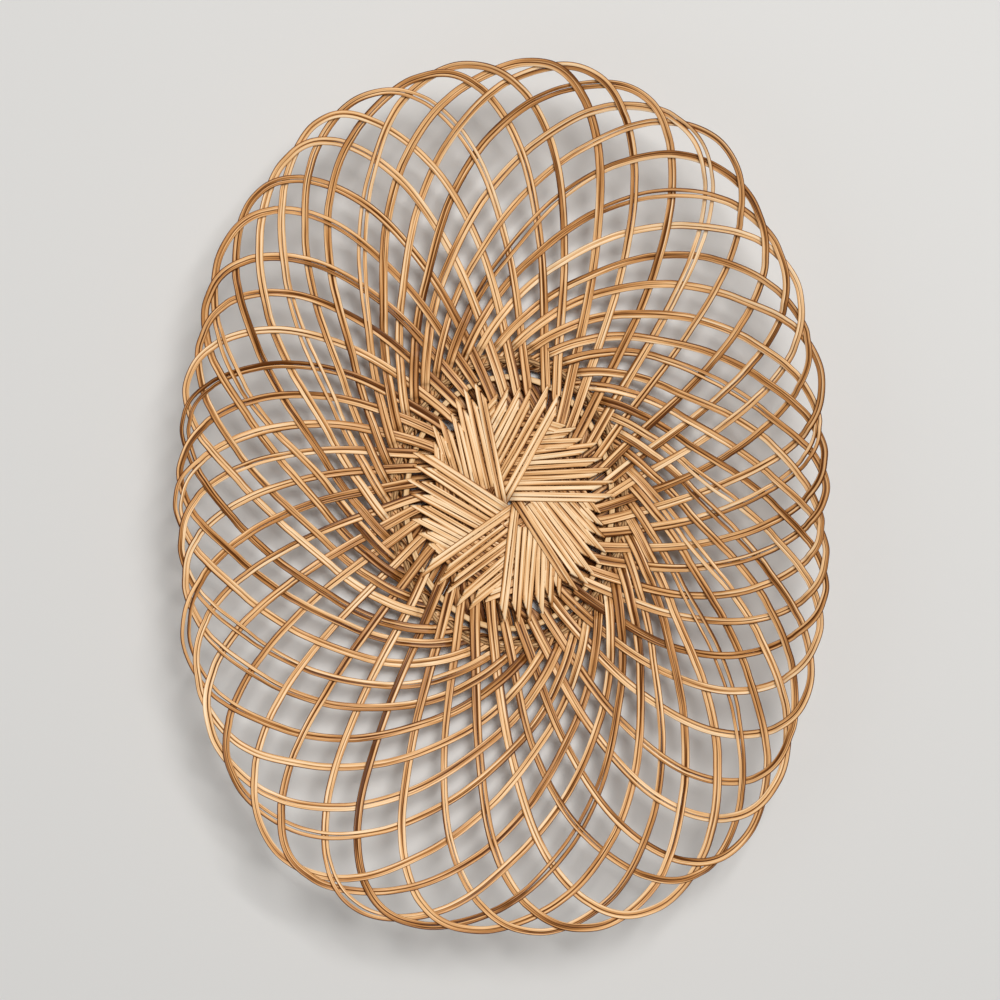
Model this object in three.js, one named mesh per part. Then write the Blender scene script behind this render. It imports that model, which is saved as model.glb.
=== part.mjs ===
// Oval tray of plaited loops: seven fans of strip pairs cross as a pinwheel base, climb the wall,
// turn over at the rim and come back down in a two-over, two-under weave to a roped foot ring.
// Millimetres and degrees, +Z up, X along the short axis, Y along the long axis, foot on Z = 0.
import * as THREE from "three";

// Overall sizes
const trayLength = 440;
const trayWidth = 325;
const wallRise = 46;
const baseLength = 122;
const baseWidth = 101;
const baseShiftX = 3.4;
const baseShiftY = -2.5;
const cornerFullness = [0.045, 0.042, 0.07, 0.085];

// Uneven spacing of the plaiting: waves round the oval, each with its cosine and sine parts in degrees at
// the base and at the rim
const spacingWaves = [
  { perTurn: 1, base: [2, -2.6], rim: [1.7, -2.5] },
  { perTurn: 2, base: [-2.8, -2.2], rim: [-1, -10.4] },
];

// Strip pairs and the fans that they lie in
const fanPairs = [8, 6, 7, 8, 6, 6, 8];
const firstFanTurn = 3.7;
const pairWidth = 4;
const stripThickness = 1;
const weaveClearance = 0.5;

// Loop outline on the wall: turn from the base bend, and reach from the base (0) to the rim (1)
const loopGuide = [
  [0, 0],
  [7, 0.157],
  [13.2, 0.459],
  [19.2, 0.749],
  [26.6, 0.952],
  [34, 1],
  [43.2, 0.932],
  [50.8, 0.812],
  [61.8, 0.607],
  [72.4, 0.423],
  [86.3, 0.25],
  [98.8, 0.13],
];
const crestGuide = 5;

// Weave: each leg passes over two and under two, and outRise is how far each float of the leg going
// out, from the rim down, stands above the wall's middle as a share of the spacing of the two layers
const crossingsPerFloat = 2;
const outRise = [0.5, -0.5, 0.5, -0.5, 0.2, -0.2];
const longestFlat = 0.46;
const crestFlat = 0.38;

// Pinwheel
const hubHoleRadius = 3.3;
const lastTuckShare = 0.8;
const firstBendReach = 0.03;
const lastBendReach = 0;
const tuckSlope = 4.5;

// Binding hoop under the bends, and the foot ring of twisted strand ends
const seatClearance = 0.3;
const hoopReach = 0.03;
const hoopWidth = 3;
const hoopSteps = 36;
const footReach = 0.09;
const footStrands = 3;
const footStrandDiameter = 3.5;
const footTwists = 8;
const footFlat = 0.5;
const stepsPerTwist = 6;
const strandSides = 5;

const { clamp, degToRad, euclideanModulo, lerp } = THREE.MathUtils;
const fanCount = fanPairs.length;

// Seat of each loop: its fan, and its place there from the first spoke (0) to the last (1)
const seats = fanPairs.flatMap((pairs, fan) =>
  Array.from({ length: pairs }, (_, rank) => ({ fan, share: rank / (pairs - 1) })),
);
const loopCount = seats.length;
const pitch = 360 / loopCount;
const layer = stripThickness + weaveClearance;
const rimInset = pairWidth / 2;
const upward = new THREE.Vector3(0, 0, 1);
const baseShift = new THREE.Vector3(baseShiftX, baseShiftY, 0);

// Rise of each float on the two legs: where the leg going out is over, the other is one layer lower
const outLevels = outRise.map((share) => share * layer);
const backLevels = outLevels.map((level, float) => level - (float % 2 ? -layer : layer));
const baseLevel = outLevels.at(-1);

// The legs rest on the foot ring
const footSwing = (footStrandDiameter + weaveClearance) / Math.sqrt(3);
const footAxisHeight = footSwing + (footStrandDiameter / 2) * Math.cos(Math.PI / strandSides) - footFlat;
const footTop = footAxisHeight + footSwing + footStrandDiameter / 2;
const baseHeight = footTop + seatClearance + stripThickness / 2 - baseLevel - wallRise * footReach ** 2;
const baseTop = baseHeight + baseLevel;

// Angle round the oval at a turn of the plaiting, which is closer along the sides than at the ends
function wallAngle(turn, reach) {
  let angle = turn;
  for (const { perTurn, base, rim } of spacingWaves) {
    const phase = degToRad(turn * perTurn);
    angle += lerp(base[0], rim[0], reach) * Math.cos(phase);
    angle += lerp(base[1], rim[1], reach) * Math.sin(phase);
  }
  return degToRad(angle);
}

// Point on the middle of the wall, shifted by a rise square to its upper face
function wallPoint(turn, reach, rise = 0) {
  const angle = wallAngle(turn, reach);
  const corner = Math.floor(euclideanModulo(angle / (Math.PI / 2), 4));
  const full = 1 + cornerFullness[corner] * reach * Math.sin(2 * angle) ** 2;
  const halfX = lerp(baseWidth / 2, trayWidth / 2 - rimInset, reach) * full;
  const halfY = lerp(baseLength / 2, trayLength / 2 - rimInset, reach) * full;
  const height = baseHeight + wallRise * reach ** 2;
  const point = new THREE.Vector3(halfX * Math.cos(angle), halfY * Math.sin(angle), height);
  point.addScaledVector(baseShift, 1 - reach);
  return rise ? point.addScaledVector(wallNormal(turn, reach), rise) : point;
}

// Direction square to the wall's upper face
function wallNormal(turn, reach) {
  const step = 0.01;
  const along = wallPoint(turn + step, reach).sub(wallPoint(turn - step, reach));
  const up = wallPoint(turn, reach + step).sub(wallPoint(turn, reach - step));
  return up.cross(along).normalize();
}

// Half the length over which two strip pairs that cross at an angle lie on each other
function overlapReach(angle) {
  return (pairWidth / 2) * (1 / Math.sin(angle) + Math.abs(1 / Math.tan(angle)));
}

// Solid swept along rings of corners, capped at both ends or closed on itself
function sweep(rings, closed) {
  const sides = rings[0].length;
  const corners = rings.flat().flatMap((corner) => corner.toArray());
  const faces = [];
  const spans = closed ? rings.length : rings.length - 1;
  for (let span = 0; span < spans; span += 1) {
    const here = span * sides;
    const next = ((span + 1) % rings.length) * sides;
    for (let side = 0; side < sides; side += 1) {
      const beside = (side + 1) % sides;
      faces.push(here + side, here + beside, next + beside);
      faces.push(here + side, next + beside, next + side);
    }
  }
  if (!closed) {
    const last = (rings.length - 1) * sides;
    for (let side = 1; side < sides - 1; side += 1) {
      faces.push(0, side + 1, side);
      faces.push(last, last + side, last + side + 1);
    }
  }
  const geometry = new THREE.BufferGeometry();
  geometry.setAttribute("position", new THREE.Float32BufferAttribute(corners, 3));
  geometry.setIndex(faces);
  geometry.computeVertexNormals();
  return geometry;
}

// Flat strip along a path of points, each with the direction that its upper face looks in
function strip(path, width, closed = false) {
  const last = path.length - 1;
  const rings = path.map(({ point, up }, index) => {
    const before = path[index > 0 ? index - 1 : closed ? last : 0].point;
    const after = path[index < last ? index + 1 : closed ? 0 : last].point;
    const arriving = point.clone().sub(before).projectOnPlane(up).normalize();
    const leaving = after.clone().sub(point).projectOnPlane(up).normalize();
    const ahead = arriving.clone().add(leaving).normalize();
    const mitre = 1 / Math.max(ahead.dot(leaving), ahead.dot(arriving));
    const aside = ahead.clone().cross(up).multiplyScalar((width / 2) * mitre);
    const lift = up.clone().multiplyScalar(stripThickness / 2);
    const sides = [point.clone().add(aside), point.clone().sub(aside)];
    const below = sides.map((side) => side.clone().sub(lift));
    const above = sides.map((side) => side.clone().add(lift)).reverse();
    return [...below, ...above];
  });
  return sweep(rings, closed);
}

// Loop outline as one smooth curve, from the base bend over the crest to the tail
const outline = new THREE.SplineCurve(loopGuide.map(([turn, reach]) => new THREE.Vector2(turn, reach)));
const crestPlace = crestGuide / (loopGuide.length - 1);
const bendTurn = (loop) => firstFanTurn + loop * pitch;

// Sharp bend where a loop's spoke ends, nearer to the hub from the first to the last spoke of a fan
function baseBend(loop) {
  const reach = lerp(firstBendReach, lastBendReach, seats[loop].share);
  return wallPoint(bendTurn(loop), reach).setZ(baseTop);
}

// Value between two limits at which a rising test first holds
function firstWhere(test, low, high) {
  for (let round = 0; round < 40; round += 1) {
    const middle = (low + high) / 2;
    if (test(middle)) high = middle;
    else low = middle;
  }
  return high;
}

// Places where a leg going out meets the leg coming back of the loop that many loops behind it
function crossing(behind) {
  const backAt = (out) => {
    const turn = outline.getPoint(out).x + behind * pitch;
    return firstWhere((back) => outline.getPoint(back).x >= turn, crestPlace, 1);
  };
  const meets = (out) => outline.getPoint(out).y >= outline.getPoint(backAt(out)).y;
  const out = firstWhere(meets, 0, crestPlace);
  return { out, back: backAt(out) };
}
const crossings = [];
for (let behind = 1; behind <= outRise.length * crossingsPerFloat; behind += 1) {
  crossings.push(crossing(behind));
}

// Direction of a leg that passes a turn of the wall at a place on the outline
function legDirection(turn, place) {
  const step = 0.001;
  const here = outline.getPoint(place);
  const next = outline.getPoint(place + step);
  return wallPoint(turn + next.x - here.x, next.y).sub(wallPoint(turn, here.y));
}

// Share of the gap between two crossings over which a loop stays flat next to one of them
function flatShare(loop, leg, meet, gap) {
  const turn = bendTurn(loop) + outline.getPoint(meet[leg]).x;
  const angle = legDirection(turn, meet.out).angleTo(legDirection(turn, meet.back));
  return Math.min(overlapReach(angle) / gap, longestFlat);
}

// Point of a loop at a place on the outline, in the middle of the wall
function middlePoint(loop, place) {
  const { x, y } = outline.getPoint(place);
  return wallPoint(bendTurn(loop) + x, y);
}

// One leg of a loop from the rim down: flat over each float, sloping in the gaps between floats
function legPlaces(loop, leg, levels) {
  const places = crossings.slice(0, crossingsPerFloat).map((meet) => ({ place: meet[leg], rise: levels[0] }));
  for (let float = 1; float < levels.length; float += 1) {
    const upper = crossings[float * crossingsPerFloat - 1];
    const lower = crossings[float * crossingsPerFloat];
    const gap = middlePoint(loop, upper[leg]).distanceTo(middlePoint(loop, lower[leg]));
    const leave = flatShare(loop, leg, upper, gap);
    const arrive = 1 - flatShare(loop, leg, lower, gap);
    places.push({ place: lerp(upper[leg], lower[leg], leave), rise: levels[float - 1] });
    places.push({ place: lerp(upper[leg], lower[leg], arrive), rise: levels[float] });
  }
  return places;
}

// Turn of the loop at the rim, from the upper layer to the lower one
function crestPlaces() {
  const first = crossings[0];
  const at = (share, rise) => ({ place: lerp(first.out, first.back, share), rise });
  const flats = [crestFlat / 2, crestFlat];
  const over = flats.map((share) => at(share, outLevels[0]));
  const middle = at(0.5, (outLevels[0] + backLevels[0]) / 2);
  const under = flats.map((share) => at(1 - share, backLevels[0])).reverse();
  return [...over, middle, ...under];
}

// Tail of the loop, which comes down over the last leg that it crosses to the foot ring
const tail = { place: 1, rise: backLevels.at(-1) + seatClearance };

// First spoke of each fan: it passes the hub hole with its edge and dips under the next fan's first spoke
const spokeOffset = hubHoleRadius + pairWidth / 2;
const fans = [];
for (let fan = 0; fan < fanCount; fan += 1) {
  const first = seats.findIndex((seat) => seat.fan === fan);
  const bend = baseBend(first).sub(baseShift).setZ(0);
  const angle = Math.atan2(bend.y, bend.x) - Math.asin(spokeOffset / bend.length());
  const ahead = new THREE.Vector3(Math.cos(angle), Math.sin(angle), 0);
  const foot = new THREE.Vector3(-ahead.y, ahead.x, 0).multiplyScalar(spokeOffset).add(baseShift);
  fans.push({ ahead, foot, length: Math.sqrt(bend.lengthSq() - spokeOffset ** 2) });
}
fans.forEach((fan, index) => {
  fan.cover = fans[(index + 1) % fanCount];
  fan.half = Math.tan(fan.ahead.angleTo(fan.cover.ahead) / 2);
  fan.tuck = spokeOffset * fan.half;
});
const hubHalf = Math.min(...fans.map((fan) => fan.half));
const hubSlope = pairWidth / 2 / hubHalf + 2 * hubHoleRadius * hubHalf;
const hubDip = (layer * hubSlope) / (2 * hubHoleRadius * hubHalf);
const firstDip = (fan, along) => hubDip * clamp(1 - (along + fan.tuck) / hubSlope, 0, 1);

// Straight spoke of a loop, from its end tucked under the next fan's first spoke out to the base bend
function spoke(loop) {
  const { fan: own, share } = seats[loop];
  const fan = fans[own];
  const { cover } = fan;
  const along = lerp(fan.tuck, cover.length * lastTuckShare, share);
  const bend = baseBend(loop);
  const end = cover.foot.clone().addScaledVector(cover.ahead, along).setZ(baseTop);
  const ahead = bend.clone().sub(end).normalize();
  const at = (distance, depth) => end.clone().addScaledVector(ahead, distance).setZ(baseTop - depth);
  if (share === 0) return [at(0, hubDip), at(hubSlope, 0), bend];
  const under = overlapReach(ahead.angleTo(cover.ahead));
  const slope = Math.min(tuckSlope, (end.distanceTo(bend) - under) / 2);
  const dip = layer + firstDip(cover, along - under);
  return [at(0, dip), at(under, dip), at(under + slope, 0), bend];
}

// One loop: spoke, leg going out, crest, leg coming back and tail
function loopPath(loop) {
  const outLeg = legPlaces(loop, "out", outLevels).reverse();
  const backLeg = legPlaces(loop, "back", backLevels);
  const wall = [...outLeg, ...crestPlaces(), ...backLeg, tail].map(({ place, rise }) => {
    const { x, y } = outline.getPoint(place);
    const turn = bendTurn(loop) + x;
    return { point: wallPoint(turn, y, rise), up: wallNormal(turn, y) };
  });
  const base = spoke(loop).map((point) => ({ point, up: upward }));
  return [...base, ...wall];
}

// Hoop that lies under the bends of all the loops
function hoopPath() {
  const height = baseTop - stripThickness - seatClearance;
  const path = [];
  for (let step = 0; step < hoopSteps; step += 1) {
    path.push({ point: wallPoint((360 * step) / hoopSteps, hoopReach).setZ(height), up: upward });
  }
  return path;
}

// One strand of the foot ring, twisted round the others and cut flat where the tray stands
function footStrand(strand) {
  const steps = footTwists * stepsPerTwist;
  const sideTurn = 360 / strandSides;
  const rings = [];
  for (let step = 0; step < steps; step += 1) {
    const turn = (360 * step) / steps;
    const axis = wallPoint(turn, footReach).setZ(footAxisHeight);
    const along = wallPoint(turn + 1, footReach).sub(wallPoint(turn - 1, footReach)).normalize();
    const outward = along.cross(upward);
    const around = (from, radius, angle) =>
      from
        .clone()
        .addScaledVector(outward, radius * Math.cos(degToRad(angle)))
        .addScaledVector(upward, radius * Math.sin(degToRad(angle)));
    const centre = around(axis, footSwing, 360 * (strand / footStrands - step / stepsPerTwist));
    const ring = [];
    for (let side = 0; side < strandSides; side += 1) {
      const corner = around(centre, footStrandDiameter / 2, 90 - side * sideTurn);
      ring.push(corner.setZ(Math.max(corner.z, 0)));
    }
    rings.push(ring);
  }
  return sweep(rings, true);
}

// Finishes
const loopFinish = () => new THREE.MeshStandardMaterial({ color: 0xc8995f, roughness: 0.55, metalness: 0 });
const hoopFinish = () => new THREE.MeshStandardMaterial({ color: 0xdcc08c, roughness: 0.6, metalness: 0 });
const footFinish = () => new THREE.MeshStandardMaterial({ color: 0xa87a4c, roughness: 0.65, metalness: 0 });

const tray = new THREE.Group();
function addPiece(name, geometry, material) {
  const mesh = new THREE.Mesh(geometry, material);
  mesh.name = name;
  tray.add(mesh);
}
for (let loop = 0; loop < loopCount; loop += 1) {
  addPiece(`loop_${String(loop + 1).padStart(2, "0")}`, strip(loopPath(loop), pairWidth), loopFinish());
}
addPiece("binding_hoop", strip(hoopPath(), hoopWidth, true), hoopFinish());
for (let strand = 0; strand < footStrands; strand += 1) {
  addPiece(`foot_strand_${strand + 1}`, footStrand(strand), footFinish());
}

export default tray;
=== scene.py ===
# Oval tray of plaited bamboo loops: a pinwheel base of strip pairs, an open wall and a roped foot ring.
# Metres and degrees, +Z up, X along the short axis, Y along the long axis, foot on Z = 0.
import math

import bmesh
import bpy
import numpy as np
from mathutils import Matrix, Vector


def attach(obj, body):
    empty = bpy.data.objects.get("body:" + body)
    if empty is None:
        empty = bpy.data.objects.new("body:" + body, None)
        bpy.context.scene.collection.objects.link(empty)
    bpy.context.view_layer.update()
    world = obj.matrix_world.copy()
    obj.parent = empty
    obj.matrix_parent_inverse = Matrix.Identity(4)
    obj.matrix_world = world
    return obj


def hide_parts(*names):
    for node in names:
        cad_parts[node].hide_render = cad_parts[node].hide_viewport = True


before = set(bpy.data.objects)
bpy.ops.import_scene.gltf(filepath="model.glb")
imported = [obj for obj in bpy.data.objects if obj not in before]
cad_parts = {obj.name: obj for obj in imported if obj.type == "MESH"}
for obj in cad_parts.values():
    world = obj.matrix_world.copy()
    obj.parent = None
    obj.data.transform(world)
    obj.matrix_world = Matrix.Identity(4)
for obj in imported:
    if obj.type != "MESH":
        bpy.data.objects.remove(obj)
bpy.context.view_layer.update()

MM = 0.001
UP = np.array([0.0, 0.0, 1.0])
LEVEL = np.array([1.0, 1.0, 0.0])

# Overall sizes
TRAY_LENGTH = 440 * MM
TRAY_WIDTH = 325 * MM
WALL_RISE = 46 * MM
BASE_LENGTH = 122 * MM
BASE_WIDTH = 101 * MM
BASE_SHIFT = np.array([3.4 * MM, -2.5 * MM, 0.0])
CORNER_FULLNESS = np.array([0.045, 0.042, 0.07, 0.085])
NORMAL_STEP = 0.01
TANGENT_STEP = 1

# Uneven spacing of the plaiting: waves round the oval, with their cosine and sine parts in degrees
SPACING_WAVES = (
    {"per_turn": 1, "base": (2, -2.6), "rim": (1.7, -2.5)},
    {"per_turn": 2, "base": (-2.8, -2.2), "rim": (-1, -10.4)},
)

# Strip pairs and the fans that they lie in
FAN_PAIRS = (8, 6, 7, 8, 6, 6, 8)
FANS = len(FAN_PAIRS)
LOOPS = sum(FAN_PAIRS)
PITCH = 360 / LOOPS
FIRST_FAN_TURN = 3.7
PAIR_WIDTH = 4 * MM
PAIR_SIDES = (-1, 1)
STRIPS_PER_PAIR = len(PAIR_SIDES)
STRIP_WIDTH = PAIR_WIDTH / STRIPS_PER_PAIR
STRIP_THICKNESS = 1.0 * MM
WEAVE_CLEARANCE = 0.5 * MM
LAYER = STRIP_THICKNESS + WEAVE_CLEARANCE
RIM_INSET = PAIR_WIDTH / 2

# Loop outline on the wall: turn from the base bend, and reach from the base (0) to the rim (1)
LOOP_GUIDE = np.array([
    (0, 0),
    (7, 0.157),
    (13.2, 0.459),
    (19.2, 0.749),
    (26.6, 0.952),
    (34, 1),
    (43.2, 0.932),
    (50.8, 0.812),
    (61.8, 0.607),
    (72.4, 0.423),
    (86.3, 0.25),
    (98.8, 0.13),
])
CREST_GUIDE = 5
STEPS_PER_GUIDE = 14
GUIDE_SPANS = len(LOOP_GUIDE) - 1
PLACES = np.linspace(0, 1, GUIDE_SPANS * STEPS_PER_GUIDE + 1)
CREST = CREST_GUIDE * STEPS_PER_GUIDE
FOLD_PLACES = 4
TAIL_PLACES = 3
WALL_SPAN = slice(FOLD_PLACES, len(PLACES) - TAIL_PLACES)

# Weave: height of each float of the leg going out, from the rim down, as a share of the layer spacing
CROSSINGS_PER_FLOAT = 2
OUT_RISE = np.array([0.5, -0.5, 0.5, -0.5, 0.2, -0.2])
FLOAT_FLAT = 0.26

# Pinwheel base: its hub, the spokes' tucks and the folds at the bends
HUB_HOLE_RADIUS = 1.4 * MM
BASE_LAYER = 0.95 * MM
LAST_TUCK_SHARE = 0.8
TUCK_SLOPE = 3 * MM
TUCK_SPREAD = 0.5 * MM
TUCK_SPREAD_RISE = 8
SPOKE_STEPS = 22
SPOKE_PARTING = 0.3 * MM
SHORTEST_SPOKE = 1 * MM
FIRST_BEND_REACH = -0.015
LAST_BEND_REACH = -0.05
BEND_FADE = 0.12
FOLD_ROOM = 7.5 * MM
FOLD_SLANT = 2.4
FOLD_BULGE = 0.4 * MM
TIP_LIFT = 0.55 * MM
TIP_LENGTH = 16 * MM
LEG_DROP = 0.4 * MM

# Strips running on under the base
UNDER_HEIGHTS = np.array([1.4, 3.4]) * MM
UNDER_STEPS = 14
UNDER_PARTING = 0.4 * MM
UNDER_PARTING_FADE = 3
UNDER_WIDENING = 0.35

# Tails: straight on under the next leg, down through the foot ring's top and round its inner side
TAIL_STEPS = 20
TAIL_AHEAD = 6
TAIL_LEAD = 9
TAIL_RUNS = np.array([4, 9]) * MM
TAIL_HEIGHTS = np.array([7.1, 5.8]) * MM
TAIL_TURNS = np.array([13, 19, 25])
TAIL_LAYS = np.array([165, 215, 265])
TAIL_DEPTHS = np.array([0.2, -0.7, -2.2]) * MM

# Binding hoop and foot ring
SEAT_CLEARANCE = 0.3 * MM
HOOP_REACH = 0.03
HOOP_WIDTH = 3 * MM
HOOP_STEPS = 144
FOOT_REACH = 0.09
FOOT_HALF = np.array([BASE_WIDTH, BASE_LENGTH]) / 2 * (1 + FOOT_REACH)
FOOT_STRANDS = 3
FOOT_STRAND_DIAMETER = 3.5 * MM
FOOT_TWISTS = 8
FOOT_FLAT = 0.5 * MM
FOOT_SIDES = 5
FOOT_STEPS = 288
RODS_PER_STRAND = 6
ROD_TWISTS = 18
ROD_LAY_RADIUS = FOOT_STRAND_DIAMETER * 0.32
ROD_HALF_WIDTH = ROD_LAY_RADIUS * 0.62
ROD_HALF_THICKNESS = ROD_LAY_RADIUS * 0.5

# Strip section, and the plain rods and rings that are bent into strips
BLANK_SPACING = 4
BLANK_RADIUS = 0.3
SECTION_SIDES = 16
SECTION_SQUARENESS = 0.5
CROWN = 0.12
BASE_THINNING = 0.2
BASE_WIDENING = 0.28
WIDE_REACH = 0.5
STRIP_SEAT = 0.97

# Uneven hand work: spreads, and how many times they change along a strip
SEED = 7
SWAY_TURN = np.array([0.6, 0.5, 0.6, 0.6, 0.6, 0.5, 0.2])
SWAY_REACH = np.array([0.012, 0.008, 0.012, 0.012, 0.012, 0.006, 0])
GAP_SPREAD = 0.12 * MM
GAP_CHANGES = 20
WIDTH_SPREAD = 0.08
WIDTH_CHANGES = 12
THICKNESS_SPREAD = 0.05
THICKNESS_CHANGES = 8
ROLL_SPREAD = 7
ROLL_CHANGES = 18
LIFT_SPREAD = 0.06 * MM
LIFT_CHANGES = 14
SPLIT_SHARE = 0.4
SPLIT_WIDTH = 2.2 * MM
SPLIT_OPENINGS = (0.4, 1)
SPLIT_MIDDLES = (0.4, 0.8)
SPLIT_HALVES = (0.06, 0.12)

# Tones of the strips: evenness and shares of the pair's and the strip's own tone, calmer on the spokes
TONE_EVENNESS = 3
PAIR_TONE = 0.45
STRIP_TONE = 0.55
SPOKE_TONE = 0.5
SPOKE_TONE_SHARE = 0.6
HOOP_TONE = 0.3
# Painted shade on the strips running on under the base, which makes them dark brown
UNDER_BASE_PAINTED_SHADE = 2
# Legs: their browner outer face, with painted shade that is stronger low on the wall (first value) than at
# the rim
LEG_FACE_AND_PAINTED_SHADES = (1.35, 0.9)

# Bamboo finish: colours from pale to dark, streaks along the fibres and what makes a spot browner: its
# tone, the legs' outer face, painted shade, and painted shade on the strips' edges
STRIP_COLOURS = ((0.99, 0.74, 0.47), (0.89, 0.535, 0.25), (0.55, 0.245, 0.076), (0.11, 0.031, 0.004))
HOOP_COLOURS = ((0.88, 0.60, 0.33), (0.68, 0.40, 0.17), (0.32, 0.15, 0.05))
# Foot ring colours: darker brown strips, made darker still by painted shade
FOOT_COLOURS_WITH_SHADE = ((0.62, 0.38, 0.18), (0.42, 0.22, 0.085), (0.14, 0.06, 0.022))
STRIP_ROUGHNESS = 0.38
RAW_ROUGHNESS = 0.5
ROUGHNESS_SPREAD = (-0.1, 0.15)
SHEEN = 0.15
FINE_STREAKS = {"scale": (30, 1500, 40), "detail": 3}
BROAD_STREAKS = {"scale": (10, 700, 23), "detail": 2}
STREAK_ROUGHNESS = 0.6
BROAD_AMOUNT = 1.4
TONE_AMOUNT = 0.46
FACE_AND_PAINTED_SHADE_AMOUNT = 0.15
# Painted shade on each strip's rounded edges, darkening towards its sides
EDGE_SHADE_AMOUNT = 0.68
EDGE_SHADE_POWER = 6
BROWN_RANGE = (1.265, 1.925)
GRAIN_STRENGTH = 0.35
GRAIN_DEPTH = 0.15 * MM

# Camera, floor and light
CAMERA_PLACE = Vector((-1.5 * MM, -1.0 * MM, 1186 * MM))
CAMERA_FIELD = 24.95
FLOOR_HALF = 6.0
FLOOR_DROP = 0.2 * MM
FLOOR_COLOUR = (0.70, 0.69, 0.67, 1)
FLOOR_ROUGHNESS = 0.9
LAMPS = (
    {"name": "key_light", "place": (0.6, 0.8, 2.5), "size": 1.0, "power": 60},
    {"name": "fill_light", "place": (-1.2, -0.6, 1.4), "size": 1.2, "power": 4},
)
WORLD_COLOUR = (1, 1, 1, 1)
WORLD_STRENGTH = 0.2


def unit(vectors):
    return vectors / np.linalg.norm(vectors, axis=-1, keepdims=True)


def lerp(low, high, share):
    return low + (high - low) * share


def ease(share):
    share = np.clip(share, 0, 1)
    return share * share * (3 - 2 * share)


# Smooth curve through evenly spaced points, at places from 0 to 1
def spline(points, place):
    last = len(points) - 1
    scaled = np.clip(place, 0, 1) * last
    here = np.minimum(scaled.astype(int), last - 1)
    share = (scaled - here)[:, None]
    before, start = points[np.maximum(here - 1, 0)], points[here]
    end, after = points[here + 1], points[np.minimum(here + 2, last)]
    leaving, arriving = (end - before) / 2, (after - start) / 2
    cubic = 2 * start - 2 * end + leaving + arriving
    square = 3 * end - 3 * start - 2 * leaving - arriving
    return ((cubic * share + square) * share + leaving) * share + start


# Value that rests at each knot's value and eases from knot to knot
def eased(place, knots, values):
    index = np.clip(np.searchsorted(knots, place), 1, len(knots) - 1)
    share = (place - knots[index - 1]) / (knots[index] - knots[index - 1])
    return lerp(values[index - 1], values[index], ease(share))


# Heights that the legs, the base and the foot ring share
OUT_LEVELS = OUT_RISE * LAYER
BACK_LEVELS = OUT_LEVELS - np.where(np.arange(len(OUT_RISE)) % 2, -LAYER, LAYER)
BASE_LEVEL = OUT_LEVELS[-1]
FOOT_SWING = (FOOT_STRAND_DIAMETER + WEAVE_CLEARANCE) / math.sqrt(3)
FOOT_AXIS_HEIGHT = FOOT_SWING + FOOT_STRAND_DIAMETER / 2 * math.cos(math.pi / FOOT_SIDES) - FOOT_FLAT
ROPE_RADIUS = FOOT_SWING + FOOT_STRAND_DIAMETER / 2
FOOT_TOP = FOOT_AXIS_HEIGHT + ROPE_RADIUS
BASE_HEIGHT = FOOT_TOP + SEAT_CLEARANCE + STRIP_THICKNESS / 2 - BASE_LEVEL - WALL_RISE * FOOT_REACH ** 2
BASE_TOP = BASE_HEIGHT + BASE_LEVEL


# Angle round the oval at a turn of the plaiting, which is closer along the sides than at the ends
def wall_angle(turn, reach):
    angle = turn
    for wave in SPACING_WAVES:
        phase = np.radians(turn * wave["per_turn"])
        cosine, sine = (lerp(*parts, reach) for parts in zip(wave["base"], wave["rim"]))
        angle = angle + cosine * np.cos(phase) + sine * np.sin(phase)
    return np.radians(angle)


# Point on the middle of the wall
def wall_point(turn, reach):
    turn, reach = np.broadcast_arrays(turn, reach)
    angle = wall_angle(turn, reach)
    corner = np.floor(angle / (math.pi / 2)).astype(int) % len(CORNER_FULLNESS)
    full = 1 + CORNER_FULLNESS[corner] * reach * np.sin(2 * angle) ** 2
    half_x = lerp(BASE_WIDTH / 2, TRAY_WIDTH / 2 - RIM_INSET, reach) * full
    half_y = lerp(BASE_LENGTH / 2, TRAY_LENGTH / 2 - RIM_INSET, reach) * full
    height = BASE_HEIGHT + WALL_RISE * reach ** 2
    point = np.stack([half_x * np.cos(angle), half_y * np.sin(angle), height], axis=-1)
    return point + np.multiply.outer(1 - reach, BASE_SHIFT)


# Direction square to the wall's upper face
def wall_normal(turn, reach):
    along = wall_point(turn + NORMAL_STEP, reach) - wall_point(turn - NORMAL_STEP, reach)
    up = wall_point(turn, reach + NORMAL_STEP) - wall_point(turn, reach - NORMAL_STEP)
    return unit(np.cross(up, along))


rng = np.random.default_rng(SEED)

# Seat of each loop: its fan, and its place there from the first spoke (0) to the last (1)
SEATS = [(fan, rank / (pairs - 1)) for fan, pairs in enumerate(FAN_PAIRS) for rank in range(pairs)]


# Outline of a loop, swaying a little from the guide
def loop_outline(loop):
    sway = rng.normal(size=(len(SWAY_TURN), 2)) * np.stack([SWAY_TURN, SWAY_REACH], axis=1)
    outline = spline(LOOP_GUIDE, PLACES) + spline(sway, PLACES)
    bend_reach = lerp(FIRST_BEND_REACH, LAST_BEND_REACH, SEATS[loop][1])
    outline[:, 1] += bend_reach * ease(1 - PLACES / BEND_FADE)
    return outline


def bend_turn(loop):
    return FIRST_FAN_TURN + loop * PITCH


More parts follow.
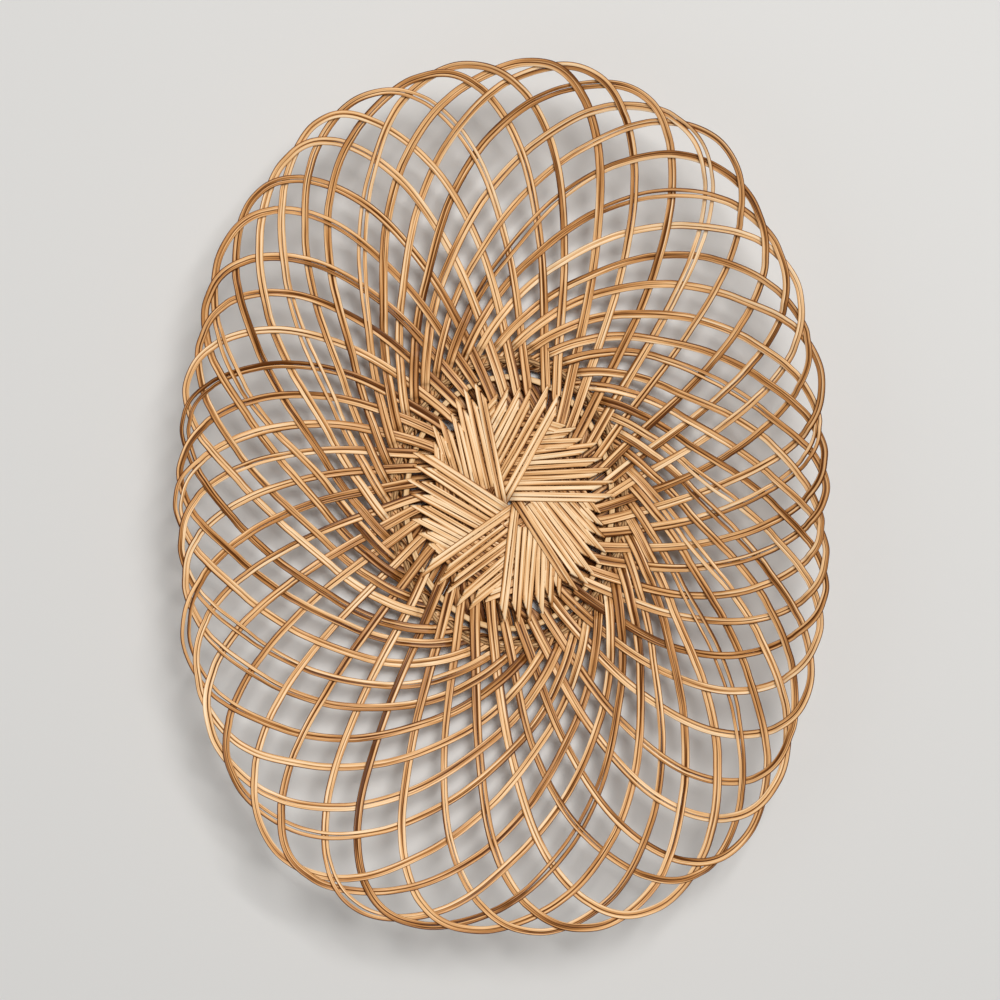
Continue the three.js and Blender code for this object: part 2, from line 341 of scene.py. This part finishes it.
# Places on both legs where a loop going out meets the loops behind it coming back
def crossing_places(outlines):
    count = len(OUT_RISE) * CROSSINGS_PER_FLOAT
    out_places = np.zeros((LOOPS, count))
    back_places = np.zeros((LOOPS, count))
    for loop in range(LOOPS):
        turn, reach = outlines[loop, :CREST + 1].T
        for behind in range(1, count + 1):
            other = (loop - behind) % LOOPS
            back_turn, back_reach = outlines[other, CREST:].T
            back_turn = back_turn - behind * PITCH
            above = reach - np.interp(turn, back_turn, back_reach)
            index = np.argmax(above >= 0)
            share = above[index - 1] / (above[index - 1] - above[index])
            out_places[loop, behind - 1] = lerp(PLACES[index - 1], PLACES[index], share)
            meet = lerp(turn[index - 1], turn[index], share)
            back_places[other, behind - 1] = np.interp(meet, back_turn, PLACES[CREST:])
    return out_places, back_places


outlines = np.stack([loop_outline(loop) for loop in range(LOOPS)])
out_places, back_places = crossing_places(outlines)


# Rise of a loop above the wall's middle at every place: level over each float, easing in between
def weave_rise(loop):
    places = np.concatenate([out_places[loop, ::-1], back_places[loop]])
    levels = np.repeat(np.concatenate([OUT_LEVELS[::-1], BACK_LEVELS]), CROSSINGS_PER_FLOAT)
    gaps = np.diff(places)
    before = places - FLOAT_FLAT * np.concatenate([gaps[:1], gaps])
    after = places + FLOAT_FLAT * np.concatenate([gaps, gaps[-1:]])
    knots = np.stack([before, after], axis=1).ravel()
    return eased(PLACES, knots, np.repeat(levels, 2))


def base_bend(loop):
    return wall_point(bend_turn(loop) + outlines[loop, 0, 0], outlines[loop, 0, 1])


# First spoke of a fan: where it passes the hub, its direction and its length
def fan_line(fan):
    bend = (base_bend(SEATS.index((fan, 0))) - BASE_SHIFT)[:2]
    distance = np.linalg.norm(bend)
    offset = HUB_HOLE_RADIUS + PAIR_WIDTH / 2
    angle = math.atan2(bend[1], bend[0]) - math.asin(offset / distance)
    ahead = np.array([math.cos(angle), math.sin(angle), 0])
    foot = np.array([-ahead[1], ahead[0], 0]) * offset + BASE_SHIFT
    return {"ahead": ahead, "foot": foot, "length": math.sqrt(distance ** 2 - offset ** 2)}


# How far the crossing of two pairs reaches along either of them
def overlap_reach(angle):
    return PAIR_WIDTH / 2 * (1 / math.sin(angle) + abs(1 / math.tan(angle)))


def angle_between(one, other):
    return math.acos(np.clip(one @ other, -1, 1))


fans = [fan_line(fan) for fan in range(FANS)]
fan_turns = [angle_between(fans[fan]["ahead"], fans[(fan + 1) % FANS]["ahead"]) for fan in range(FANS)]

# Slope and dip with which the first spokes pass under each other round the hub
HUB_TANGENT = math.tan(min(fan_turns) / 2)
HUB_SLOPE = PAIR_WIDTH / 2 / HUB_TANGENT + 2 * HUB_HOLE_RADIUS * HUB_TANGENT
HUB_DIP = BASE_LAYER * HUB_SLOPE / (2 * HUB_HOLE_RADIUS * HUB_TANGENT)


# Straight spoke of a loop, from its tuck under the next fan to its base bend, and how it dips at the tuck
def spoke_line(loop):
    fan, share = SEATS[loop]
    cover = fans[(fan + 1) % FANS]
    tuck = (HUB_HOLE_RADIUS + PAIR_WIDTH / 2) * math.tan(fan_turns[fan] / 2)
    along = lerp(tuck, cover["length"] * LAST_TUCK_SHARE, share)
    along += rng.normal() * TUCK_SPREAD * min(1, share * (1 - share) * TUCK_SPREAD_RISE)
    bend = base_bend(loop)
    end = cover["foot"] + cover["ahead"] * along
    end[2] = bend[2] = BASE_TOP
    length = np.linalg.norm(bend - end)
    ahead = (bend - end) / length
    spoke = {"end": end, "bend": bend, "ahead": ahead, "length": length}
    if share == 0:
        return {**spoke, "under": 0, "slope": HUB_SLOPE, "dip": HUB_DIP}
    under = overlap_reach(angle_between(ahead, cover["ahead"]))
    slope = min(TUCK_SLOPE, (length - under) / 2)
    dip = BASE_LAYER + HUB_DIP * max(0, 1 - (along - under + tuck) / HUB_SLOPE)
    return {**spoke, "under": under, "slope": slope, "dip": dip}


# Point on the foot ring where a spoke arrives if it runs straight on under the base, in halves of the ring
def straight_arrival(spoke):
    start = (spoke["end"] - BASE_SHIFT)[:2] / FOOT_HALF
    step = -spoke["ahead"][:2] / FOOT_HALF
    along = start @ step
    run = (-along + math.sqrt(along ** 2 - step @ step * (start @ start - 1))) / (step @ step)
    return start + step * run


# The spokes arrive evenly spaced round the foot ring, in the order in which they would arrive straight
spokes = [spoke_line(loop) for loop in range(LOOPS)]
straight = np.array([straight_arrival(spoke) for spoke in spokes])
straight_angles = np.arctan2(straight[:, 1], straight[:, 0])
even_angles = np.argsort(np.argsort(straight_angles)) * 2 * math.pi / LOOPS
even_angles += np.mean(straight_angles - even_angles)
arrival_shifts = (np.stack([np.cos(even_angles), np.sin(even_angles)], axis=1) - straight) * FOOT_HALF


# Path of a spoke: under the base from the far side, up past the next fan, out to the base bend
def spoke_points(loop):
    spoke = spokes[loop]
    run = np.linalg.norm(straight[loop] * FOOT_HALF - (spoke["end"] - BASE_SHIFT)[:2])
    distance = np.concatenate([
        np.linspace(-run, 0, UNDER_STEPS, endpoint=False),
        np.linspace(0, max(spoke["length"] - FOLD_ROOM, SHORTEST_SPOKE), SPOKE_STEPS),
    ])
    lift = TIP_LIFT * ease((distance - spoke["length"] + TIP_LENGTH) / TIP_LENGTH)
    height = BASE_TOP + lift - spoke["dip"] * (1 - ease((distance - spoke["under"]) / spoke["slope"]))
    beneath = np.clip(-distance / run, 0, 1)
    points = spoke["end"] + spoke["ahead"] * distance[:, None]
    points[:, :2] += arrival_shifts[loop] * ease(beneath)[:, None]
    points[:, 2] = lerp(height, rng.uniform(*UNDER_HEIGHTS), beneath)
    return points, spoke["bend"], spoke["ahead"]


# Flat fold at the base bend, round its crease from the spoke on top to the leg below, which shows its back
def fold_points(bend, ahead, leaving):
    crease, outward = unit(ahead + leaving), unit(ahead - leaving)
    aside = np.cross(ahead, UP)
    slant = np.clip((crease @ ahead) / (crease @ aside), -FOLD_SLANT, FOLD_SLANT)
    middle = bend + outward * FOLD_BULGE + UP * (TIP_LIFT - LEG_DROP) / 2
    points = np.stack([bend + UP * TIP_LIFT, middle, bend - UP * LEG_DROP])
    return points, np.stack([UP, outward, -UP]), np.tile(aside + ahead * slant, (len(points), 1))


# Point on or in the foot ring: lay is the angle round its axis, from outward over the top
def foot_point(turn, lay, radius):
    axis = wall_point(turn, FOOT_REACH)
    axis[..., 2] = FOOT_AXIS_HEIGHT
    along = wall_point(turn + TANGENT_STEP, FOOT_REACH) - wall_point(turn - TANGENT_STEP, FOOT_REACH)
    outward = np.cross(unit(along), UP)
    lay = np.radians(lay)
    spread = np.cos(lay)[..., None] * outward + np.sin(lay)[..., None] * UP
    return axis + spread * np.asarray(radius)[..., None], spread


# Tail of a loop, from the end of its leg into the foot ring
def tail_points(turn, points, ups):
    ahead = unit((points[-1] - points[-TAIL_AHEAD]) * LEVEL)
    dive = points[-1] + ahead * TAIL_RUNS[:, None]
    dive[:, 2] = TAIL_HEIGHTS
    wrap, wrap_ups = foot_point(turn + TAIL_TURNS, TAIL_LAYS, ROPE_RADIUS + TAIL_DEPTHS)
    guide = np.concatenate([points[[-TAIL_LEAD, -1]], dive, wrap])
    guide_ups = np.concatenate([ups[[-TAIL_LEAD, -1, -1, -1]], wrap_ups])
    share = np.linspace(1 / (len(guide) - 1), 1, TAIL_STEPS + 1)[1:]
    return spline(guide, share), unit(spline(guide_ups, share))


def flattened(vectors, ups):
    return unit(vectors - ups * np.sum(vectors * ups, axis=-1, keepdims=True))


# Sideways direction at every point of a path, lengthened where the path bends
def sideways(points, ups, closed=False):
    if closed:
        before, after = np.roll(points, 1, axis=0), np.roll(points, -1, axis=0)
    else:
        before = np.concatenate([points[:1] * 2 - points[1:2], points[:-1]])
        after = np.concatenate([points[1:], points[-1:] * 2 - points[-2:-1]])
    arriving, leaving = flattened(points - before, ups), flattened(after - points, ups)
    ahead = unit(arriving + leaving)
    return np.cross(ahead, ups) / np.sum(ahead * leaving, axis=-1, keepdims=True)


# Whole path of a loop, with its reach up the wall and its strips' parting, width and shade at every point
def loop_path(loop):
    base, bend, ahead = spoke_points(loop)
    turn = bend_turn(loop) + outlines[loop, WALL_SPAN, 0]
    reach = outlines[loop, WALL_SPAN, 1]
    normal = wall_normal(turn, reach)
    wall = wall_point(turn, reach) + normal * weave_rise(loop)[WALL_SPAN, None]
    tail, tail_ups = tail_points(turn[-1], wall, normal)
    fold, fold_ups, fold_sides = fold_points(bend, ahead, unit((wall[0] - bend) * LEVEL))
    base_ups = np.tile(UP, (len(base), 1))
    leg, leg_ups = np.concatenate([wall, tail]), -np.concatenate([normal, tail_ups])
    points = np.concatenate([base, fold, leg])
    ups = np.concatenate([base_ups, fold_ups, leg_ups])
    asides = np.concatenate([sideways(base, base_ups), fold_sides, sideways(leg, leg_ups)])
    folded = len(base) + len(fold)
    reaches = np.zeros(len(points))
    reaches[folded:] = np.concatenate([np.maximum(reach, 0), np.full(len(tail), reach[-1])])
    partings = np.zeros(len(points))
    partings[:UNDER_STEPS] = UNDER_PARTING * ease(np.linspace(UNDER_PARTING_FADE, 0, UNDER_STEPS))
    partings[UNDER_STEPS:len(base)] = SPOKE_PARTING * np.sin(np.linspace(0, math.pi, SPOKE_STEPS))
    widths = np.ones(len(points))
    widths[:UNDER_STEPS] += UNDER_WIDENING
    # Browner outer face and painted shade at every point: painted shade is darker low on the legs and
    # darkest under the base; the spokes get none and show their paler inner face
    shades = lerp(*LEG_FACE_AND_PAINTED_SHADES, reaches)
    shades[:UNDER_STEPS] = UNDER_BASE_PAINTED_SHADE
    shades[UNDER_STEPS:folded - 1] = 0
    return (points, ups, asides), reaches, partings, widths, shades


# Straight rods cut into rings, side by side, with the ring number along Z
def rod_blank(rods, rings):
    bm = bmesh.new()
    for rod in range(rods):
        place = Matrix.Translation((rod * BLANK_SPACING, 0, 0.5))
        bmesh.ops.create_cone(
            bm, cap_ends=True, segments=SECTION_SIDES, radius1=1, radius2=1, depth=1, matrix=place
        )
    lengthwise = [edge for edge in bm.edges if abs(edge.verts[0].co.z - edge.verts[1].co.z) > 0.5]
    bmesh.ops.subdivide_edges(bm, edges=lengthwise, cuts=rings - 2, use_grid_fill=True)
    places = np.array([vert.co for vert in bm.verts])
    rod = np.rint(places[:, 0] / BLANK_SPACING).astype(int)
    ring = np.rint(places[:, 2] * (rings - 1)).astype(int)
    angle = np.arctan2(places[:, 1], places[:, 0] - rod * BLANK_SPACING)
    return bm, rod, ring, angle


# Rings closed on themselves, one above the other, with the ring number round Z
def ring_blank(rods, rings):
    bm = bmesh.new()
    for rod in range(rods):
        place = Matrix.Translation((1, 0, rod * BLANK_SPACING)) @ Matrix.Rotation(math.pi / 2, 4, "X")
        bmesh.ops.create_circle(bm, segments=SECTION_SIDES, radius=BLANK_RADIUS, matrix=place)
    bmesh.ops.spin(
        bm,
        geom=bm.verts[:] + bm.edges[:],
        axis=(0, 0, 1),
        cent=(0, 0, 0),
        angle=2 * math.pi,
        steps=rings,
        use_merge=True,
    )
    places = np.array([vert.co for vert in bm.verts])
    rod = np.rint(places[:, 2] / BLANK_SPACING).astype(int)
    turn = np.arctan2(places[:, 1], places[:, 0])
    ring = np.rint(turn / (2 * math.pi) * rings).astype(int) % rings
    angle = np.arctan2(places[:, 2] - rod * BLANK_SPACING, np.hypot(places[:, 0], places[:, 1]) - 1)
    return bm, rod, ring, angle


def squarish(value):
    return np.sign(value) * np.abs(value) ** SECTION_SQUARENESS


# Rounded strip section with crowned faces
def section(angle):
    across, above = squarish(np.cos(angle)), squarish(np.sin(angle))
    return across, above * (1 - CROWN * across ** 2)


def finished_mesh(name, bm):
    mesh = bpy.data.meshes.new(name)
    bm.to_mesh(mesh)
    bm.free()
    return mesh


def new_object(name, data):
    item = bpy.data.objects.new(name, data)
    bpy.context.scene.collection.objects.link(item)
    return item


def add_attribute(mesh, name, kind, field, values):
    attribute = mesh.attributes.new(name, kind, "POINT")
    attribute.data.foreach_set(field, values.astype(np.float32).ravel())


# Piece made of rods bent along a path: each rod has offsets, half sizes and a roll at every ring
def bent_piece(name, blank, path, rods, tones, shades, material):
    bm, rod, ring, angle = blank
    points, ups, asides = path
    across, above = section(angle)
    roll = np.radians(rods["roll"][rod, ring])
    wide, thick = across * rods["half_width"][rod, ring], above * rods["half_thickness"][rod, ring]
    side = rods["offset"][rod, ring] + wide * np.cos(roll) - thick * np.sin(roll)
    lift = rods["lift"][rod, ring] + wide * np.sin(roll) + thick * np.cos(roll)
    places = points[ring] + asides[ring] * side[:, None] + ups[ring] * lift[:, None]
    places[:, 2] = np.maximum(places[:, 2], 0)
    for vert, place in zip(bm.verts, places):
        vert.co = place
    bmesh.ops.recalc_face_normals(bm, faces=bm.faces)
    for face in bm.faces:
        face.smooth = True
    mesh = finished_mesh(name, bm)
    steps = np.linalg.norm(np.diff(points, axis=0), axis=1)
    length = np.concatenate([[0], np.cumsum(steps)])
    fibre = np.stack([length[ring], side, tones[rod]], axis=1)
    tone = lerp(SPOKE_TONE, tones[rod], np.clip(shades[ring], SPOKE_TONE_SHARE, 1))
    add_attribute(mesh, "fibre", "FLOAT_VECTOR", "vector", fibre)
    add_attribute(mesh, "tone", "FLOAT", "value", tone)
    # Each point's browner outer face and painted shade
    add_attribute(mesh, "face_and_painted_shade", "FLOAT", "value", shades[ring])
    # How near a point is to its strip's side, for the painted shade on the edges
    add_attribute(mesh, "edge", "FLOAT", "value", np.abs(across))
    mesh.materials.append(material)
    return new_object(name, mesh)


def plain_rods(count, rings):
    keys = ("offset", "half_width", "half_thickness", "roll", "lift")
    return {key: np.zeros((count, rings)) for key in keys}


# Smooth unevenness along a path
def wander(rings, changes, spread):
    return spline(rng.normal(size=(changes, 1)) * spread, np.linspace(0, 1, rings))[:, 0]


# Stretch where the two strips of a pair part a little
def parting(rings):
    if rng.random() > SPLIT_SHARE:
        return np.zeros(rings)
    middle = rng.uniform(*SPLIT_MIDDLES)
    half = rng.uniform(*SPLIT_HALVES)
    share = np.linspace(0, 1, rings)
    return SPLIT_WIDTH * rng.uniform(*SPLIT_OPENINGS) * ease(1 - np.abs(share - middle) / half)


# Two strips side by side, uneven in width and roll, wider and thinner on the base
def strip_pair(reaches, partings, widths):
    rings = len(reaches)
    gap = parting(rings) + partings + np.maximum(wander(rings, GAP_CHANGES, GAP_SPREAD), 0)
    base_share = 1 - ease(reaches / WIDE_REACH)
    rods = plain_rods(STRIPS_PER_PAIR, rings)
    for rod, side in enumerate(PAIR_SIDES):
        width = 1 + BASE_WIDENING * base_share + rng.normal() * WIDTH_SPREAD
        width += wander(rings, WIDTH_CHANGES, WIDTH_SPREAD / 2)
        half_width = STRIP_WIDTH / 2 * width * widths
        thickness = 1 - BASE_THINNING * base_share + wander(rings, THICKNESS_CHANGES, THICKNESS_SPREAD)
        rods["half_width"][rod] = half_width
        rods["half_thickness"][rod] = STRIP_THICKNESS / 2 * thickness
        rods["offset"][rod] = side * (half_width * STRIP_SEAT + gap / 2)
        rods["roll"][rod] = wander(rings, ROLL_CHANGES, ROLL_SPREAD)
        rods["lift"][rod] = wander(rings, LIFT_CHANGES, LIFT_SPREAD)
    return rods


# Bamboo finish: lengthwise fibres, a tone for each strip, painted shade on the strips' edges, paler on the
# spokes' inner face than on the legs, with painted shade low on the legs and under the base
def bamboo(name, colours, roughness):
    material = bpy.data.materials.new(name)
    material.use_nodes = True
    nodes, links = material.node_tree.nodes, material.node_tree.links
    shader = nodes["Principled BSDF"]

    def attribute(key, output):
        node = nodes.new("ShaderNodeAttribute")
        node.attribute_name = key
        return node.outputs[output]

    def streaks(scale, detail):
        mapping = nodes.new("ShaderNodeMapping")
        mapping.inputs["Scale"].default_value = scale
        links.new(attribute("fibre", "Vector"), mapping.inputs["Vector"])
        noise = nodes.new("ShaderNodeTexNoise")
        noise.inputs["Scale"].default_value = 1
        noise.inputs["Detail"].default_value = detail
        noise.inputs["Roughness"].default_value = STREAK_ROUGHNESS
        links.new(mapping.outputs["Vector"], noise.inputs["Vector"])
        return noise.outputs["Fac"]

    def blend(first, second, amount):
        node = nodes.new("ShaderNodeMath")
        node.operation = "MULTIPLY_ADD"
        links.new(second, node.inputs[0])
        node.inputs[1].default_value = amount
        links.new(first, node.inputs[2])
        return node.outputs["Value"]

    def power(value, exponent):
        node = nodes.new("ShaderNodeMath")
        node.operation = "POWER"
        links.new(value, node.inputs[0])
        node.inputs[1].default_value = exponent
        return node.outputs["Value"]

    fine = streaks(**FINE_STREAKS)
    brown = blend(fine, streaks(**BROAD_STREAKS), BROAD_AMOUNT)
    brown = blend(brown, attribute("tone", "Fac"), TONE_AMOUNT)
    # Browner on the legs' outer face, plus painted shade low on the legs and under the base
    brown = blend(brown, attribute("face_and_painted_shade", "Fac"), FACE_AND_PAINTED_SHADE_AMOUNT)
    # Painted shade on the strips' rounded edges
    brown = blend(brown, power(attribute("edge", "Fac"), EDGE_SHADE_POWER), EDGE_SHADE_AMOUNT)
    spread = nodes.new("ShaderNodeMapRange")
    spread.inputs["From Min"].default_value, spread.inputs["From Max"].default_value = BROWN_RANGE
    links.new(brown, spread.inputs["Value"])
    ramp = nodes.new("ShaderNodeValToRGB")
    stops = ramp.color_ramp.elements
    for place in np.linspace(0, 1, len(colours))[1:-1]:
        stops.new(place)
    for stop, colour in zip(stops, colours):
        stop.color = (*colour, 1)
    links.new(spread.outputs["Result"], ramp.inputs["Fac"])
    links.new(ramp.outputs["Color"], shader.inputs["Base Color"])
    gloss = nodes.new("ShaderNodeMapRange")
    gloss.inputs["To Min"].default_value = roughness + ROUGHNESS_SPREAD[0]
    gloss.inputs["To Max"].default_value = roughness + ROUGHNESS_SPREAD[1]
    links.new(fine, gloss.inputs["Value"])
    links.new(gloss.outputs["Result"], shader.inputs["Roughness"])
    shader.inputs["Specular IOR Level"].default_value = SHEEN
    grain = nodes.new("ShaderNodeBump")
    grain.inputs["Strength"].default_value = GRAIN_STRENGTH
    grain.inputs["Distance"].default_value = GRAIN_DEPTH
    links.new(fine, grain.inputs["Height"])
    links.new(grain.outputs["Normal"], shader.inputs["Normal"])
    return material


def dress(piece, node):
    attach(piece, "root")
    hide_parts(node)


strip_finish = bamboo("strip_bamboo", STRIP_COLOURS, STRIP_ROUGHNESS)
hoop_finish = bamboo("hoop_bamboo", HOOP_COLOURS, RAW_ROUGHNESS)
# Darker copy of the bamboo finish for the foot ring: its browner strips plus painted shade
foot_shaded_finish = bamboo("foot_bamboo_shaded", FOOT_COLOURS_WITH_SHADE, RAW_ROUGHNESS)

# Loops
for loop in range(LOOPS):
    path, reaches, partings, widths, shades = loop_path(loop)
    pair = strip_pair(reaches, partings, widths)
    tones = rng.beta(TONE_EVENNESS, TONE_EVENNESS) * PAIR_TONE + rng.random(STRIPS_PER_PAIR) * STRIP_TONE
    number = f"{loop + 1:02d}"
    blank = rod_blank(STRIPS_PER_PAIR, len(reaches))
    piece = bent_piece(f"strip_pair_{number}", blank, path, pair, tones, shades, strip_finish)
    dress(piece, f"loop_{number}")


# Hoop under the bends
def hoop_path():
    turn = np.linspace(0, 360, HOOP_STEPS, endpoint=False)
    points = wall_point(turn, np.full(HOOP_STEPS, HOOP_REACH))
    points[:, 2] = BASE_TOP - STRIP_THICKNESS - SEAT_CLEARANCE
    ups = np.tile(UP, (HOOP_STEPS, 1))
    return points, ups, sideways(points, ups, closed=True)


hoop_rod = plain_rods(1, HOOP_STEPS)
hoop_rod["half_width"] += HOOP_WIDTH / 2
hoop_rod["half_thickness"] += STRIP_THICKNESS / 2
hoop_blank = ring_blank(1, HOOP_STEPS)
hoop_tones, hoop_shades = np.array([HOOP_TONE]), np.zeros(HOOP_STEPS)
hoop = bent_piece("hoop_strip", hoop_blank, hoop_path(), hoop_rod, hoop_tones, hoop_shades, hoop_finish)
dress(hoop, "binding_hoop")


# Foot ring: three strands twisted together, each a twist of thinner strips
def foot_strand_path(strand):
    turn = np.linspace(0, 360, FOOT_STEPS, endpoint=False)
    lay = 360 * strand / FOOT_STRANDS - turn * FOOT_TWISTS
    points, spread = foot_point(turn, lay, np.full(FOOT_STEPS, FOOT_SWING))
    return points, spread, sideways(points, spread, closed=True)


def foot_rods():
    turn = np.linspace(0, 360, FOOT_STEPS, endpoint=False)
    rods = plain_rods(RODS_PER_STRAND, FOOT_STEPS)
    rods["half_width"] += ROD_HALF_WIDTH
    rods["half_thickness"] += ROD_HALF_THICKNESS
    for rod in range(RODS_PER_STRAND):
        lay = np.radians(360 * rod / RODS_PER_STRAND + turn * ROD_TWISTS)
        rods["offset"][rod] = ROD_LAY_RADIUS * np.cos(lay)
        rods["lift"][rod] = ROD_LAY_RADIUS * np.sin(lay)
        rods["roll"][rod] = np.degrees(lay) - 90
    return rods


for strand in range(FOOT_STRANDS):
    tones = rng.random(RODS_PER_STRAND)
    blank = ring_blank(RODS_PER_STRAND, FOOT_STEPS)
    path, shades = foot_strand_path(strand), np.zeros(FOOT_STEPS)
    piece = bent_piece(f"foot_twist_{strand + 1}", blank, path, foot_rods(), tones, shades, foot_shaded_finish)
    dress(piece, f"foot_strand_{strand + 1}")


# Pale floor
def make_floor():
    bm = bmesh.new()
    place = Matrix.Translation((0, 0, -FLOOR_DROP))
    bmesh.ops.create_grid(bm, x_segments=1, y_segments=1, size=FLOOR_HALF, matrix=place)
    mesh = finished_mesh("floor", bm)
    material = bpy.data.materials.new("floor_paint")
    material.use_nodes = True
    shader = material.node_tree.nodes["Principled BSDF"]
    shader.inputs["Base Color"].default_value = FLOOR_COLOUR
    shader.inputs["Roughness"].default_value = FLOOR_ROUGHNESS
    mesh.materials.append(material)
    floor = new_object("floor", mesh)


def add_light(name, place, size, power):
    light = bpy.data.lights.new(name, "AREA")
    light.shape = "SQUARE"
    light.size = size
    light.energy = power
    lamp = new_object(name, light)
    lamp.location = place
    lamp.rotation_euler = (-Vector(place)).to_track_quat("-Z", "Y").to_euler()


make_floor()
for lamp in LAMPS:
    add_light(**lamp)

world = bpy.data.worlds.new("studio")
world.use_nodes = True
world.node_tree.nodes["Background"].inputs["Color"].default_value = WORLD_COLOUR
world.node_tree.nodes["Background"].inputs["Strength"].default_value = WORLD_STRENGTH
bpy.context.scene.world = world

camera = bpy.data.cameras.new("camera")
camera.sensor_fit = "HORIZONTAL"
camera.angle = math.radians(CAMERA_FIELD)
eye = new_object("camera", camera)
eye.location = CAMERA_PLACE
bpy.context.scene.camera = eye
bpy.context.scene.view_settings.view_transform = "Standard"
